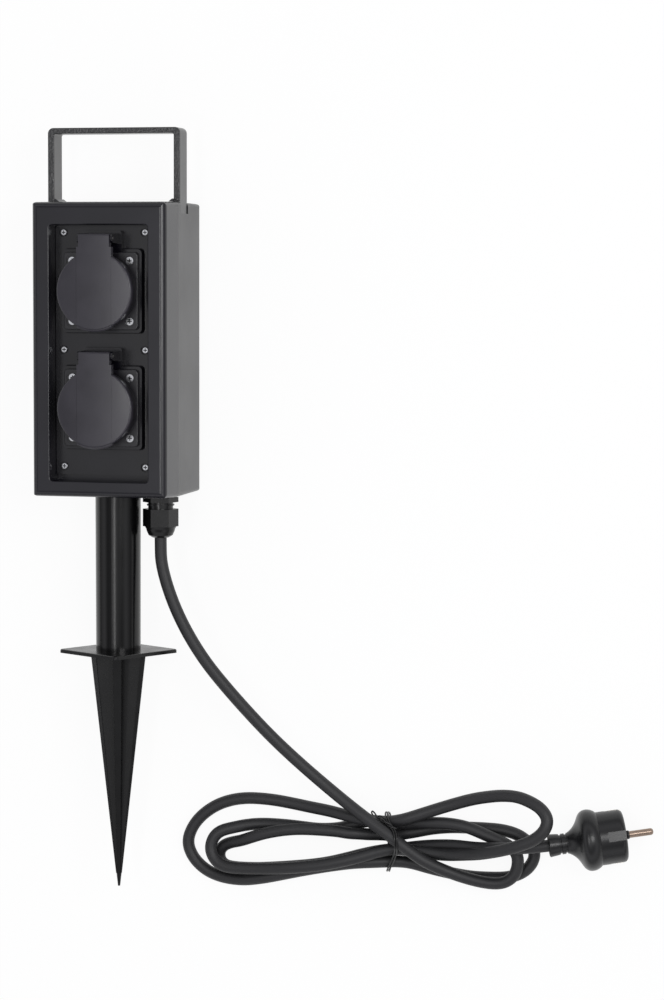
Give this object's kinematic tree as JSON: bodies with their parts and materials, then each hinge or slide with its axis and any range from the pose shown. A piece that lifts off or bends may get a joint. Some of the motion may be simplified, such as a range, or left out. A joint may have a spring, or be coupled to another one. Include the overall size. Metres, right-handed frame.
{
  "type": "garden socket post",
  "caption": "Garden socket post with hinged lid sockets, carry handle, tube and ground spike, and a tied rubber cord with plug.",
  "frame": {"origin": "on the axis of the post tube, at the underside of the ground plate", "axes": "+Y up the post to the carry handle, +Z out of the socket faces, +X to the right when facing the sockets; the part lies on its back on the plane Z = -0.0415"},
  "size_m": [0.4327, 0.547, 0.0968],
  "materials": {
    "shell_front": "semi-gloss black moulding",
    "shell_rear": "semi-gloss black moulding",
    "handle": "black moulding with a fine grain",
    "plate": "satin black moulding",
    "socket": "satin black moulding",
    "lid": "matte dark grey moulding",
    "insert": "unglazed steatite",
    "tube": "gloss black powder coat",
    "spike": "black glass-filled plastic",
    "gland": "black polyamide",
    "cord": "matte black rubber",
    "plug": "matte black rubber",
    "tie": "black coated wire",
    "seal_rubber": "soft black rubber",
    "zinc_screw": "bright zinc",
    "inner_screw": "zinc",
    "pin": "nickel plate",
    "strip": "nickel-plated strip",
    "brass_sleeve": "turned brass",
    "spring_steel": "stainless spring wire",
    "lead_brown": "brown insulation",
    "lead_blue": "blue insulation",
    "lead_green": "green insulation"
  },
  "bodies": {
    "post": {"front_shell": "shell_front", "rear_shell": "shell_rear", "shell_seal": "seal_rubber", "carry_handle": "handle", "handle_screws": "inner_screw", "mounting_plate": "plate", "plate_seal": "seal_rubber", "plate_screws": "zinc_screw", "post_tube": "tube", "post_screw": "inner_screw", "ground_spike": "spike", "gland_body": "gland", "gland_dome_nut": "gland", "gland_grommet": "seal_rubber", "gland_seal_ring": "seal_rubber", "gland_locknut": "gland", "cord_entry": "cord", "lead_line": "lead_brown", "lead_neutral": "lead_blue", "lead_earth": "lead_green", "cord_drop": "cord", "cord_hank": "cord", "cord_tail": "cord", "bundle_tie": "tie", "plug_body": "plug", "plug_pins": "pin", "plug_earth_strips": "strip", "lower_socket_body": "socket", "lower_socket_gasket": "seal_rubber", "lower_socket_screws": "zinc_screw", "lower_contact_insert": "insert", "lower_earth_clip": "strip", "lower_contact_sleeves": "brass_sleeve", "lower_hinge_pin": "pin", "lower_lid_spring": "spring_steel", "upper_socket_body": "socket", "upper_socket_gasket": "seal_rubber", "upper_socket_screws": "zinc_screw", "upper_contact_insert": "insert", "upper_earth_clip": "strip", "upper_contact_sleeves": "brass_sleeve", "upper_hinge_pin": "pin", "upper_lid_spring": "spring_steel"},
    "lower_lid": {"lower_lid": "lid", "lower_lid_seal": "seal_rubber"},
    "upper_lid": {"upper_lid": "lid", "upper_lid_seal": "seal_rubber"}
  },
  "joints": [
    {"name": "lower_lid_hinge", "type": "hinge", "parent": "post", "child": "lower_lid", "pos_m": [0, 0.2137, 0.0494], "axis": [-1, 0, 0], "range_deg": [0, 115], "stiffness_Nm_per_rad": 0.012, "springref_deg": -45.84, "deforming": ["lower_lid_spring"]},
    {"name": "upper_lid_hinge", "type": "hinge", "parent": "post", "child": "upper_lid", "pos_m": [0, 0.2952, 0.0494], "axis": [-1, 0, 0], "range_deg": [0, 115], "stiffness_Nm_per_rad": 0.012, "springref_deg": -45.84, "deforming": ["upper_lid_spring"]}
  ]
}
